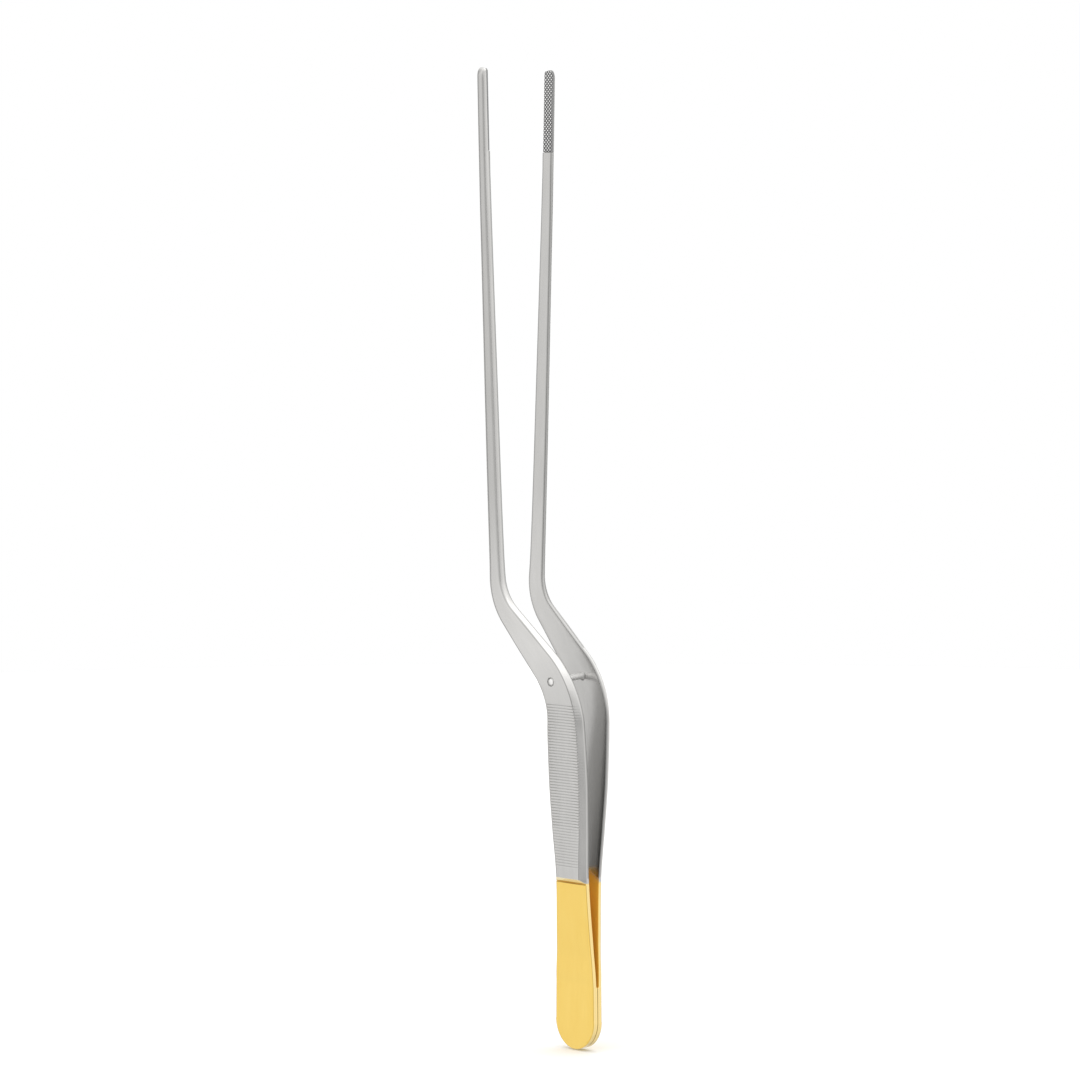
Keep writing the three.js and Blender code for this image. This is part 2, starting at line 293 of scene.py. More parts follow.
def outline(z, seat, far, narrow):
    """The section's outline as (across, depth) points, before its crown and grooves."""
    inner, outer, thickness = arm_sizes(z)
    inner, outer = inner - HAIR, outer - HAIR
    land = min(land_depth(z), far * LAND_SHARE) if z > STEP_BOTTOM else far * LAND_SHARE
    inner_corner = (inner / 2 - narrow, seat)
    land_end = (inner / 2 - narrow, max(land, seat + LEAST_LAND))
    outer_corner = (outer / 2 - narrow, far)
    inner_radius = min(inner_rounding(z), inner / INNER_WIDTH_LIMIT)
    outer_radius = min(outer_rounding(z), thickness / OUTER_DEPTH_LIMIT, outer / OUTER_WIDTH_LIMIT)
    half = rounded((0, seat), inner_corner, land_end, inner_radius)
    half.append(np.array(land_end))
    half += rounded(land_end, outer_corner, (0, far), outer_radius)
    back = [p * (-1, 1) for p in reversed(half)]
    over = spaced(half[-1], back[0], FACE_STEPS)
    under = spaced(back[-1], half[0], FACE_STEPS)
    return half + over + back + under


def section(z):
    """The ring of points of the right arm's surface at a height, in millimetres."""
    _, outer, thickness = arm_sizes(z)
    outer -= HAIR
    pulled, narrow = end_rounding(z)
    seat = seat_depth(z) + slot_recess(z)
    far = max(thickness - pulled - step_mark(z), seat + LEAST_STEEL)
    cut_depth = groove_cut(z)
    crown = OUTER_CROWN * min(1.0, outer / CROWN_WIDTH)
    x, lean = centre_line(z)
    tilt = section_tilt(z)
    stretch = 1 / math.cos(lean - tilt)
    gap = half_gap(z)
    ring = []
    for w, d in outline(z, seat, far, narrow):
        if d > thickness / 2:
            near_side = (2 * w / outer) ** 2
            d = min(d - crown * near_side, far - cut_depth * (1 + near_side))
        u = w * stretch
        ring.append((x + u * math.cos(tilt), gap + d, z + u * math.sin(tilt)))
    return ring


def heights_up(low, spans):
    """Heights from low upwards, through spans that each have a top and a spacing."""
    heights = []
    for top, spacing in spans:
        count = max(1, round((top - low) / spacing))
        heights += [low + (top - low) * k / count for k in range(1, count + 1)]
        low = top
    return heights


def arm_heights():
    """Where the arm's sections lie: closest at its ends, step and grooves."""
    quarter = [HEEL_START + (90 - HEEL_START) * k / HEEL_STEPS for k in range(HEEL_STEPS)]
    heights = [HEEL_ROUND * (1 - math.cos(math.radians(degrees))) for degrees in quarter]
    heights.append(HEEL_ROUND)
    heights += heights_up(HEEL_ROUND, [(SLOT_BOTTOM, 0.8)])
    heights += [SLOT_BOTTOM + SLOT_RECESS * share for share in (0.01, 0.05, 0.15, 0.35, 0.65, 1)]
    heights.append(HEEL_TOP)
    heights += heights_up(HEEL_TOP, [
        (STEP_BOTTOM - 0.3, 1.0), (STEP_BOTTOM + MARK_REACH, 0.1), (STEP_TOP, 0.25),
        (GROOVE_BOTTOM, 0.45),
    ])
    for groove in range(GROOVES):
        for step in range(1, GROOVE_STEPS + 1):
            heights.append(GROOVE_BOTTOM + (groove + step / GROOVE_STEPS) * GROOVE_PITCH)
    heights += heights_up(GROOVES_TOP, [
        (UPPER_BEND_END + 2, 0.5),
        (INSERT_BOTTOM - SEAT_JOINT - SEAT_STEP, 1.6),
        (INSERT_BOTTOM - SEAT_JOINT + SEAT_STEP, 2 * SEAT_STEP),
        (LENGTH - TIP_BEVEL, 1.0), (LENGTH - TIP_CORNER, 0.3), (LENGTH - TIP_EDGE, 0.1),
        (LENGTH - 0.01, 0.04),
    ])
    return heights


def loft(name, rings, side):
    """A closed mesh object through rings of points in millimetres; side -1 mirrors it to -Y."""
    count = len(rings[0])
    points = [(x * MM, y * side * MM, z * MM) for ring in rings for x, y, z in ring]
    faces = [
        (r * count + c, r * count + (c + 1) % count,
         (r + 1) * count + (c + 1) % count, (r + 1) * count + c)
        for r in range(len(rings) - 1) for c in range(count)
    ]
    last = (len(rings) - 1) * count
    faces += [tuple(reversed(range(count))), tuple(range(last, last + count))]
    return make_object(name, points, faces)


def make_object(name, points, faces):
    mesh = bpy.data.meshes.new(name)
    mesh.from_pydata(points, [], faces)
    shape = bmesh.new()
    shape.from_mesh(mesh)
    bmesh.ops.recalc_face_normals(shape, faces=shape.faces)
    shape.to_mesh(mesh)
    shape.free()
    obj = bpy.data.objects.new(name, mesh)
    bpy.context.scene.collection.objects.link(obj)
    return obj


def shade(obj, sharp_degrees=24):
    obj.data.polygons.foreach_set("use_smooth", [True] * len(obj.data.polygons))
    obj.data.set_sharp_from_angle(angle=math.radians(sharp_degrees))


def store(obj, name, values, domain="POINT"):
    """Stores one number for each vertex, or each face, where the materials can read it."""
    obj.data.attributes.new(name, "FLOAT", domain).data.foreach_set("value", values)


def turned(name, profile, sides=48):
    """A closed turned solid about +Y from (radius, along) pairs that start and end on the axis.

    A pair may have a third number, which is stored on its points as how much painted shade they
    get.
    """
    shade_and_dullness = [pair[2] if len(pair) > 2 else 0.0 for pair in profile]
    points, faces, stored = [(0.0, profile[0][1] * MM, 0.0)], [], [shade_and_dullness[0]]
    inside = profile[1:-1]
    for pair, value in zip(inside, shade_and_dullness[1:-1]):
        for k in range(sides):
            a = 2 * math.pi * k / sides
            x, z = pair[0] * math.cos(a), pair[0] * math.sin(a)
            points.append((x * MM, pair[1] * MM, z * MM))
            stored.append(value)
    points.append((0.0, profile[-1][1] * MM, 0.0))
    stored.append(shade_and_dullness[-1])
    end = len(points) - 1
    for k in range(sides):
        after = (k + 1) % sides
        faces.append((0, 1 + k, 1 + after))
        for r in range(len(inside) - 1):
            a, b = 1 + r * sides, 1 + (r + 1) * sides
            faces.append((a + k, b + k, b + after, a + after))
        top = 1 + (len(inside) - 1) * sides
        faces.append((top + k, end, top + after))
    obj = make_object(name, points, faces)
    store(obj, "shade_and_dullness", stored)
    return obj


def place(obj, point, tilt):
    """Turns a piece that was made along +Y up by tilt, and sets its start at a point in mm."""
    move = Matrix.Translation(Vector(point) * MM) @ Matrix.Rotation(tilt, 4, "X")
    obj.data.transform(move)


def cut(obj, tool):
    """Cuts the tool's solid out of obj, and removes the tool."""
    modifier = obj.modifiers.new("cut", "BOOLEAN")
    modifier.operation, modifier.solver, modifier.object = "DIFFERENCE", "EXACT", tool
    graph = bpy.context.evaluated_depsgraph_get()
    result = bpy.data.meshes.new_from_object(obj.evaluated_get(graph), depsgraph=graph)
    obj.modifiers.clear()
    old = obj.data
    obj.data = result
    bpy.data.meshes.remove(old)
    bpy.data.objects.remove(tool)


# ---- Arm coordinates for the materials -------------------------------------------------------

LINE_STEP = 0.25
# The painted shade along the edges: a dark line that stands in for their dark reflections.
EDGE_LINE = 0.5  # how far the dark line along an edge reaches over the faces, in mm
SIDE_LINE = 0.8  # how far it reaches over the sides
EDGE_FULL = 0.65  # share of that reach over which the line fades in

WALL_REACH = 1.02  # share of a hole's radius within which its wall's faces lie
WALL_TURN = 0.5  # the largest cosine between such a face's normal and the hole's axis
SEAT_REACH = 0.2  # how far below the insert the faces of its seat may lie
SEAT_LEAST = 0.05  # the least depth of such a face

line_heights = np.arange(0, LENGTH + LINE_STEP, LINE_STEP)
line_x = np.array([centre_line(z)[0] for z in line_heights])
line_lean = np.array([centre_line(z)[1] for z in line_heights])
line_recess = np.array([slot_recess(z) for z in line_heights])
line_gap = np.array([half_gap(z) for z in line_heights]) + line_recess
line_sizes = np.array([arm_sizes(z) for z in line_heights])
line_sizes[:, 2] -= line_recess
line_rounding = np.array([(inner_rounding(z), outer_rounding(z)) for z in line_heights])
line_along = np.concatenate([[0], np.cumsum(np.hypot(np.diff(line_x), LINE_STEP))])


def write_arm_coordinates(obj):
    """Stores each vertex's place on the arm, in mm: across it, into it, and along it.

    Also stored are how near it is to an edge, its depth as a share of the thickness, and its
    height at rest.
    """
    mesh = obj.data
    place_mm = np.empty(len(mesh.vertices) * 3)
    mesh.vertices.foreach_get("co", place_mm)
    x, y, z = (place_mm.reshape(-1, 3) / MM).T
    nearest = ((x[:, None] - line_x) ** 2 + (z[:, None] - line_heights) ** 2).argmin(axis=1)
    lean = line_lean[nearest]
    off_x, off_z = x - line_x[nearest], z - line_heights[nearest]
    across = off_x * np.cos(lean) + off_z * np.sin(lean)
    along = line_along[nearest] - off_x * np.sin(lean) + off_z * np.cos(lean)
    depth = np.abs(y) - line_gap[nearest]
    layer = mesh.attributes.new("arm", "FLOAT_VECTOR", "POINT")
    layer.data.foreach_set("vector", np.stack([across, depth, along], axis=1).ravel())

    inner, outer, thickness = line_sizes[nearest].T
    inner_radius, outer_radius = line_rounding[nearest].T
    over_face = np.where(along > STEP_TOP, np.maximum(inner_radius, EDGE_LINE), inner_radius)
    over_side = np.where(along > STEP_TOP, SIDE_LINE, inner_radius)
    from_inner = np.hypot((np.abs(across) - inner / 2) / over_face, depth / over_side)
    outer_reach = np.minimum(outer_radius, EDGE_LINE)
    from_outer = np.hypot(np.abs(across) - outer / 2, depth - thickness) / outer_reach
    store(obj, "edge", np.clip((1 - np.minimum(from_inner, from_outer)) / EDGE_FULL, 0, 1))
    store(obj, "level", depth / thickness)
    store(obj, "height", z)


def write_recess_shade_faces(obj, start, tilt, radius):
    """Marks the walls of the hole, and the insert's seat, as faces that get painted shade."""
    axis = Matrix.Rotation(tilt, 3, "X") @ Vector((0, 1, 0))
    recess_shade = []
    for face in obj.data.polygons:
        off = face.center / MM - Vector(start)
        away = (off - axis * off.dot(axis)).length
        wall = away < radius * WALL_REACH and abs(face.normal.dot(axis)) < WALL_TURN
        z = face.center.z / MM
        depth = abs(face.center.y) / MM - half_gap(z)
        seat = z > INSERT_BOTTOM - SEAT_REACH and SEAT_LEAST < depth < INSERT_THICKNESS
        facing = face.normal.y * face.center.y < 0 or z < INSERT_BOTTOM
        recess_shade.append(float(wall or (seat and facing)))
    store(obj, "recess_shade", recess_shade, "FACE")


# ---- Materials -------------------------------------------------------------------------------


class Nodes:
    """A small helper that adds shader nodes and links them."""

    def __init__(self, name):
        self.material = bpy.data.materials.new(name)
        self.material.use_nodes = True
        self.tree = self.material.node_tree
        self.surface = self.tree.nodes["Principled BSDF"]

    def add(self, kind, settings=None, **inputs):
        node = self.tree.nodes.new(kind)
        for key, value in (settings or {}).items():
            setattr(node, key, value)
        for key, value in inputs.items():
            self.feed(node.inputs[key.replace("_", " ")], value)
        return node

    def feed(self, socket, value):
        if isinstance(value, bpy.types.NodeSocket):
            self.tree.links.new(value, socket)
        else:
            socket.default_value = value

    def maths(self, operation, a, b=0.0):
        node = self.tree.nodes.new("ShaderNodeMath")
        node.operation = operation
        for socket, value in zip(node.inputs, (a, b)):
            self.feed(socket, value)
        return node.outputs[0]

    def plus(self, a, b):
        return self.maths("ADD", a, b)

    def minus(self, a, b):
        return self.maths("SUBTRACT", a, b)

    def times(self, a, b):
        return self.maths("MULTIPLY", a, b)

    def absolute(self, value):
        return self.maths("ABSOLUTE", value)

    def stored(self, name, output="Fac"):
        """What was stored on the mesh under this name."""
        return self.add("ShaderNodeAttribute", {"attribute_name": name}).outputs[output]

    def place(self):
        """The place on the object, in its own coordinates."""
        return self.add("ShaderNodeTexCoord").outputs["Object"]

    def scaled(self, vector, scale):
        node = self.tree.nodes.new("ShaderNodeMapping")
        self.feed(node.inputs["Vector"], vector)
        self.feed(node.inputs["Scale"], scale)
        return node.outputs["Vector"]

    def spread(self, value):
        """One value as all three components of a vector."""
        return self.add("ShaderNodeCombineXYZ", X=value, Y=value, Z=value).outputs[0]

    def noise(self, vector, scale, detail=3.0, roughness=0.55):
        node = self.add("ShaderNodeTexNoise", Vector=vector, Scale=scale, Detail=detail,
                        Roughness=roughness)
        return node.outputs["Fac"]

    def ramp(self, value, low, high, to_low=0.0, to_high=1.0):
        node = self.tree.nodes.new("ShaderNodeMapRange")
        node.clamp = True
        for key, fed in (("Value", value), ("From Min", low), ("From Max", high),
                         ("To Min", to_low), ("To Max", to_high)):
            self.feed(node.inputs[key], fed)
        return node.outputs["Result"]

    def blend(self, share, a, b):
        node = self.tree.nodes.new("ShaderNodeMix")
        node.data_type = "RGBA"
        for socket, value in ((0, share), (6, a), (7, b)):
            self.feed(node.inputs[socket], value)
        return node.outputs[2]

    def bump(self, height, strength, distance, normal=None):
        inputs = {"Height": height, "Strength": strength, "Distance": distance}
        if normal is not None:
            inputs["Normal"] = normal
        return self.add("ShaderNodeBump", **inputs).outputs["Normal"]

    def finished(self, **inputs):
        """The material, with these inputs of its surface."""
        for key, value in inputs.items():
            self.feed(self.surface.inputs[key.replace("_", " ")], value)
        return self.material


STEEL = (0.66, 0.655, 0.645, 1)
STEEL_WORN = (0.62, 0.615, 0.605, 1)
PIN_BRIGHT = (0.97, 0.965, 0.955, 1)
PIN_WORN = (0.84, 0.835, 0.825, 1)
# Painted shade for the dark line along the steel's edges.
STEEL_EDGE_SHADE = (0.25, 0.25, 0.245, 1)
# Painted shade in the hole's walls, the insert's seat and the groove of the pin's head.
PAINTED_SHADE_COLOUR = (0.11, 0.105, 0.1, 1)
GOLD = (0.96, 0.69, 0.195, 1)
GOLD_DEEP = (0.94, 0.655, 0.17, 1)
# Painted shade on the plating, in the throat between the leaves and along the edges.
GOLD_PAINTED_SHADE = (0.84, 0.5, 0.065, 1)
# Painted highlight on the plating's sides and over the step.
GOLD_HIGHLIGHT = (1.0, 0.88, 0.55, 1)
# Dark brown: painted shade in the tool mark at the step's foot, and the seam between the handle
# ends.
GOLD_FOOT = (0.27, 0.13, 0.025, 1)
# Painted shade in the valleys between the teeth, and painted highlights on their points.
CARBIDE_VALLEY_SHADE = (0.12, 0.12, 0.125, 1)
CARBIDE_HIGHLIGHT = (0.84, 0.84, 0.83, 1)

# Roughness, from the grain's smooth streaks to its rough ones.
STEEL_ROUGHNESS = (0.21, 0.27)
GOLD_ROUGHNESS = (0.13, 0.18)
PIN_ROUGHNESS = (0.38, 0.5)
CARBIDE_ROUGHNESS = (0.36, 0.5)
THROAT_ROUGHNESS, THROAT_METAL = 0.3, 0.4  # what the throat adds, and how metallic it is
PIN_METAL = 0.7

# Painted light and shade on the steel: the grips and the shanks are a little darker than the bend
# between them, the grips' inner faces are darker still, and the shanks' sides are brighter.
GRIP_LIGHT, BEND_LIGHT, SHANK_LIGHT = 0.94, 1.08, 0.77
GRIP_INSIDE_SHADE, SHANK_INSIDE_LIGHT = 0.82, 1.05
SHANK_SIDE_HIGHLIGHT = 1.28
GRIP_FADE = (GROOVES_TOP - 4, GROOVES_TOP + 14)
SHANK_FADE = (112, 150)
INSIDE_FADE = (98, 140)

SIDE_HIGHLIGHT = 0.45  # how strong the painted highlight on the sides is
EDGE_SHADE = 0.7  # how dark the line along the edges is
FLOOR_SHADE = 0.1  # how much darker than the lands the grooves' floors are
RECESS_SHADE = 0.65  # how dark the painted shade on the hole's walls and the insert's seat is


def past_plating(n, arm, reach, along, inside):
    """How far beyond the plating's end a point lies, in mm.

    Outside, the plating ends along the step's upper edge and its sloping side edges. On the
    inner face it ends higher, in a soft arch that was brushed on unevenly.
    """
    outer_edge = n.ramp(reach, 4.0, 5.35, STEP_TOP, STEP_BOTTOM + 0.2)
    wander = n.times(n.minus(n.noise(arm, 0.8, 3.0), 0.5), 3.0)
    inner_edge = n.plus(n.ramp(reach, 1.5, 5.3, STEP_TOP + 1.5, STEP_TOP - 0.6), wander)
    edge = n.plus(n.times(inner_edge, inside), n.times(outer_edge, n.minus(1.0, inside)))
    return n.minus(along, edge)


def gold_colour(n, streaks, past_edge, depth, along, sides, painted_edge_shade):
    """The plating's colour.

    Painted highlights make it pale on the sides and over the step, palest along its upper edge;
    painted shade makes it dark in the tool mark at the step's foot and along the edges. It is also
    dark in the seam between the two handle ends.
    """
    outside = n.ramp(depth, 1.05, 1.2)
    over_step = n.ramp(along, STEP_BOTTOM + 0.2, STEP_BOTTOM + 0.4, 0.0, 0.9)
    # Painted highlight over the step, strongest along the plating's upper edge.
    pale_highlight = n.ramp(n.absolute(n.plus(past_edge, 0.12)), 0.1, 0.3, 1.0, over_step)
    foot = n.ramp(n.absolute(n.minus(along, STEP_BOTTOM)), 0.18, 0.34, 1.0, 0.0)
    at_heel = n.ramp(along, SLOT_BOTTOM - 0.3, SLOT_BOTTOM, 1.0, 0.0)
    seam = n.times(n.ramp(depth, 0.05, 0.13, 1.0, 0.0), at_heel)
    gold = n.blend(streaks, GOLD, GOLD_DEEP)
    gold = n.blend(n.maths("MAXIMUM", n.times(pale_highlight, outside), sides), gold, GOLD_HIGHLIGHT)
    # Painted shade in the tool mark at the step's foot.
    gold = n.blend(n.times(foot, outside), gold, GOLD_FOOT)
    # Painted shade along the edges.
    gold = n.blend(painted_edge_shade, gold, GOLD_PAINTED_SHADE)
    return n.blend(seam, gold, GOLD_FOOT)


def steel_light_and_shade(n, along, inside, sides):
    """How bright the painted light and shade make the steel, by its place on the arm."""
    grips = n.ramp(along, *GRIP_FADE, GRIP_LIGHT, BEND_LIGHT)
    tone = n.times(grips, n.ramp(along, *SHANK_FADE, 1.0, SHANK_LIGHT))
    within = n.ramp(along, *INSIDE_FADE, GRIP_INSIDE_SHADE, SHANK_INSIDE_LIGHT)
    tone = n.times(tone, n.ramp(inside, 0.0, 1.0, 1.0, within))
    beside = n.times(sides, n.ramp(along, *SHANK_FADE))
    return n.times(tone, n.ramp(beside, 0.0, SIDE_HIGHLIGHT, 1.0, SHANK_SIDE_HIGHLIGHT))


def groove_floors(n, level):
    """How much painted shade darkens the floors of the grooves, against the lands between them."""
    turn = n.maths("DIVIDE", n.minus(n.stored("height"), GROOVE_BOTTOM), GROOVE_PITCH)
    off_floor = n.absolute(n.minus(n.maths("FRACT", turn), 0.5))
    grooved = n.times(n.maths("GREATER_THAN", turn, 0.0), n.maths("LESS_THAN", turn, GROOVES))
    floors = n.times(n.ramp(off_floor, 0.05, 0.3, FLOOR_SHADE, 0.0), grooved)
    return n.times(floors, n.ramp(level, 0.75, 0.85))


def plated_steel():
    """Satin-polished steel with gold plating below the step; the plating ends softly. Its colour
    carries painted light and shade.
    """
    n = Nodes("plated_steel")
    arm = n.stored("arm", "Vector")
    parts = n.add("ShaderNodeSeparateXYZ", Vector=arm).outputs
    reach, depth, along = n.absolute(parts["X"]), parts["Y"], parts["Z"]
    level = n.stored("level")
    inside = n.ramp(depth, 0.05, 0.4, 1.0, 0.0)
    # How much painted highlight the sides get, between the inner and the outer face.
    sides = n.times(n.ramp(level, 0.05, 0.15), n.ramp(level, 0.8, 0.9, SIDE_HIGHLIGHT, 0.0))

    grain = n.noise(n.scaled(arm, (9, 9, 0.22)), 1.0, 4.0)
    scratches = n.noise(n.scaled(arm, (26, 26, 0.5)), 1.0, 2.0, 0.7)
    clouds = n.noise(n.scaled(arm, (0.35, 0.35, 0.08)), 1.0, 3.0)
    streaks = n.ramp(n.plus(n.times(clouds, 0.5), n.times(grain, 0.5)), 0.38, 0.62)

    past_edge = past_plating(n, arm, reach, along, inside)
    width = n.ramp(inside, 0.0, 1.0, 0.1, 2.4)
    steel_share = n.ramp(n.maths("DIVIDE", past_edge, width), -0.5, 0.5)

    # Inside the throat between the leaves the plating is duller, and painted shade deepens its
    # colour.
    in_slot = n.ramp(along, SLOT_BOTTOM - 0.05, SLOT_BOTTOM + 0.2)
    throat = n.times(n.ramp(depth, 0.05, 0.2, 1.0, 0.0), in_slot)
    shade_and_dullness = n.times(throat, n.minus(1.0, steel_share))

    # Painted shade: a dark line along the edges, standing in for their dark reflections.
    painted_edge_shade = n.ramp(n.stored("edge"), 0.1, 0.9, 0.0, EDGE_SHADE)
    gold = gold_colour(n, streaks, past_edge, depth, along, sides, painted_edge_shade)
    steel = n.blend(painted_edge_shade, n.blend(streaks, STEEL, STEEL_WORN), STEEL_EDGE_SHADE)
    # Painted light and shade along the arm, and painted shade on the grooves' floors.
    tone = n.ramp(steel_share, 0.0, 1.0, 1.0, steel_light_and_shade(n, along, inside, sides))
    tone = n.times(tone, n.minus(1.0, groove_floors(n, level)))
    colour = n.scaled(n.blend(steel_share, gold, steel), n.spread(tone))
    # Painted shade on the hole's walls and on the insert's seat.
    colour = n.blend(n.times(n.stored("recess_shade"), RECESS_SHADE), colour, PAINTED_SHADE_COLOUR)

    satin = n.ramp(grain, 0.3, 0.7, *STEEL_ROUGHNESS)
    bright = n.ramp(grain, 0.3, 0.7, *GOLD_ROUGHNESS)
    roughness = n.ramp(steel_share, 0.0, 1.0, bright, satin)
    return n.finished(
        Base_Color=n.blend(shade_and_dullness, colour, GOLD_PAINTED_SHADE),
        Metallic=n.ramp(shade_and_dullness, 0.0, 1.0, 1.0, THROAT_METAL),
        Roughness=n.plus(roughness, n.times(shade_and_dullness, THROAT_ROUGHNESS)),
        Normal=n.bump(clouds, 0.08, 0.00004, n.bump(scratches, 0.12, 0.00001)),
    )


def pin_steel():
    """Turned steel with fine rings round it, and patchy painted shade in the groove of its peened
    head.
    """
    n = Nodes("pin_steel")
    here = n.place()
    rings = n.noise(n.scaled(here, (9000, 700, 9000)), 1.0, 3.0)
    patches = n.ramp(n.noise(n.scaled(here, (1500, 1500, 1500)), 1.0, 2.0), 0.35, 0.65, 0.3, 0.75)
    # Painted shade in the groove of the peened head, in patches.
    groove_shade = n.times(n.stored("shade_and_dullness"), patches)
    return n.finished(
        Base_Color=n.blend(groove_shade, n.blend(rings, PIN_BRIGHT, PIN_WORN), PAINTED_SHADE_COLOUR),
        Metallic=PIN_METAL,
        Roughness=n.ramp(rings, 0.3, 0.7, *PIN_ROUGHNESS),
        Normal=n.bump(rings, 0.15, 0.00001),
    )


def carbide():
    """Matt hard metal, with painted shade in the valleys between the teeth and painted highlights
    on their points.
    """
    n = Nodes("carbide")
    grain = n.noise(n.scaled(n.place(), (7000, 7000, 7000)), 1.0, 3.0)
    return n.finished(
        Base_Color=n.blend(n.ramp(n.stored("rise"), 0.2, 0.6), CARBIDE_VALLEY_SHADE, CARBIDE_HIGHLIGHT),
        Metallic=1.0,
        Roughness=n.ramp(grain, 0.3, 0.7, *CARBIDE_ROUGHNESS),
        Normal=n.bump(grain, 0.2, 0.00001),
    )


def paper():
    """The floor's pale, faintly mottled paper."""
    n = Nodes("pale_floor")
    tone = n.ramp(n.noise(n.place(), 3.0), 0.3, 0.7, 0.9, 0.94)
    colour = n.add("ShaderNodeCombineColor", Red=tone, Green=tone, Blue=tone).outputs[0]
    return n.finished(Base_Color=colour, Roughness=0.9)


# ---- Pieces ----------------------------------------------------------------------------------

SIDES = {"left": -1, "right": 1}
pin_lean = math.atan((half_gap(PIN_HEIGHT + 5) - half_gap(PIN_HEIGHT - 5)) / 10)
pin_x = centre_line(PIN_HEIGHT)[0]
pin_gap = half_gap(PIN_HEIGHT)
arm_depth = arm_sizes(PIN_HEIGHT)[2]


def make_arm(side):
    sign = SIDES[side]
    arm = loft(f"{side}_arm_forging", [section(z) for z in arm_heights()], sign)
    if side == "left":
        start = (pin_x, -pin_gap - 2 * arm_depth * math.cos(pin_lean),
                 PIN_HEIGHT - 2 * arm_depth * math.sin(pin_lean))
        radius, tilt = RIVET_RADIUS, pin_lean
    else:
        height = PIN_HEIGHT + 2 * pin_gap * math.tan(pin_lean) - GUIDE_HOLE_DROP
        start = (pin_x, pin_gap - arm_depth * math.cos(pin_lean),
                 height + arm_depth * math.sin(pin_lean))
        radius, tilt = GUIDE_HOLE_RADIUS, -pin_lean
    drill = turned("drill", [(0, 0), (radius, 0), (radius, 3 * arm_depth), (0, 3 * arm_depth)])
    place(drill, start, tilt)
    cut(arm, drill)
    shade(arm)
    write_arm_coordinates(arm)
    write_recess_shade_faces(arm, start, tilt, radius)
    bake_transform(arm)
    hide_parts(f"{side}_handle_end", f"{side}_spring_leaf", f"{side}_arm")
    return arm


TOOTH_CELLS = 8  # cells of the mesh across one tooth
BORDER_RISE = 0.3  # how high the insert's border is, as a share of a tooth's height
FLAT = 1e-6  # a tooth is flat along a cell's diagonal if its middle is off by less


def tooth(u, v):
    """The height of the diamond-cut teeth at a place on the insert, from 0 to 1."""
    a, b = ((u + v) / TOOTH_PITCH) % 1, ((u - v) / TOOTH_PITCH) % 1
    return min(1 - abs(2 * a - 1), 1 - abs(2 * b - 1))


def toothed_faces(columns, rows, tooth_at):
    """Two triangles for each cell of the insert's face, split along the ridges of its teeth."""
    faces = []
    wide = columns + 1
    for j in range(rows):
        for i in range(columns):
            a, b = j * wide + i, j * wide + i + 1
            c, d = b + wide, a + wide
            ends = (tooth_at(i, j) + tooth_at(i + 1, j + 1)) / 2
            if abs(tooth_at(i + 0.5, j + 0.5) - ends) < FLAT:
                faces += [(a, b, c), (a, c, d)]
            else:
                faces += [(a, b, d), (b, c, d)]
    return faces


def make_insert(side, material):
    """The insert as a plate whose inner face is cut into diamond-shaped teeth."""
    sign = SIDES[side]
    cell = TOOTH_PITCH / TOOTH_CELLS
    half = arm_sizes(INSERT_BOTTOM)[0] / 2 - INSERT_MARGIN
    columns = 2 * round(half / cell)
    rows = round((INSERT_TOP - INSERT_BOTTOM) / cell)
    wide = columns + 1
    back = INSERT_THICKNESS - INSERT_PROUD - INSERT_FIT
    x0 = centre_line(INSERT_BOTTOM)[0]

    def tooth_at(i, j):
        return tooth((i - columns / 2) * cell, j * cell)

    def surface(i, j, rise):
        z = INSERT_BOTTOM + j * (INSERT_TOP - INSERT_BOTTOM) / rows
        u = (half - pulled_in(LENGTH - z, TIP_CORNER)) * (2 * i / columns - 1)
        depth = -INSERT_PROUD + TOOTH_DEPTH * (1 - rise)
        return (x0 + u) * MM, sign * (half_gap(z) + depth) * MM, z * MM

    grid = [(i, j) for j in range(rows + 1) for i in range(wide)]
    rises = [
        BORDER_RISE if i in (0, columns) or j in (0, rows) else tooth_at(i, j) for i, j in grid
    ]
    points = [surface(i, j, rise) for (i, j), rise in zip(grid, rises)]
    faces = toothed_faces(columns, rows, tooth_at)
    border = list(range(wide))
    border += [j * wide + columns for j in range(1, rows + 1)]
    border += [rows * wide + i for i in range(columns - 1, -1, -1)]
    border += [j * wide for j in range(rows - 1, 0, -1)]
    first, count = len(points), len(border)
    for k in border:
        x, _, z = points[k]
        points.append((x, sign * (half_gap(z / MM) + back) * MM, z))
    for k in range(count):
        after = (k + 1) % count
        faces.append((border[k], border[after], first + after, first + k))
    faces.append(tuple(range(first, first + count)))
    insert = make_object(f"{side}_jaw_teeth", points, faces)
    shade(insert, 12)
    store(insert, "rise", rises + [BORDER_RISE] * count)
    insert.data.materials.append(material)
    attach(insert, f"{side}_arm")
    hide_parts(f"{side}_jaw_insert")


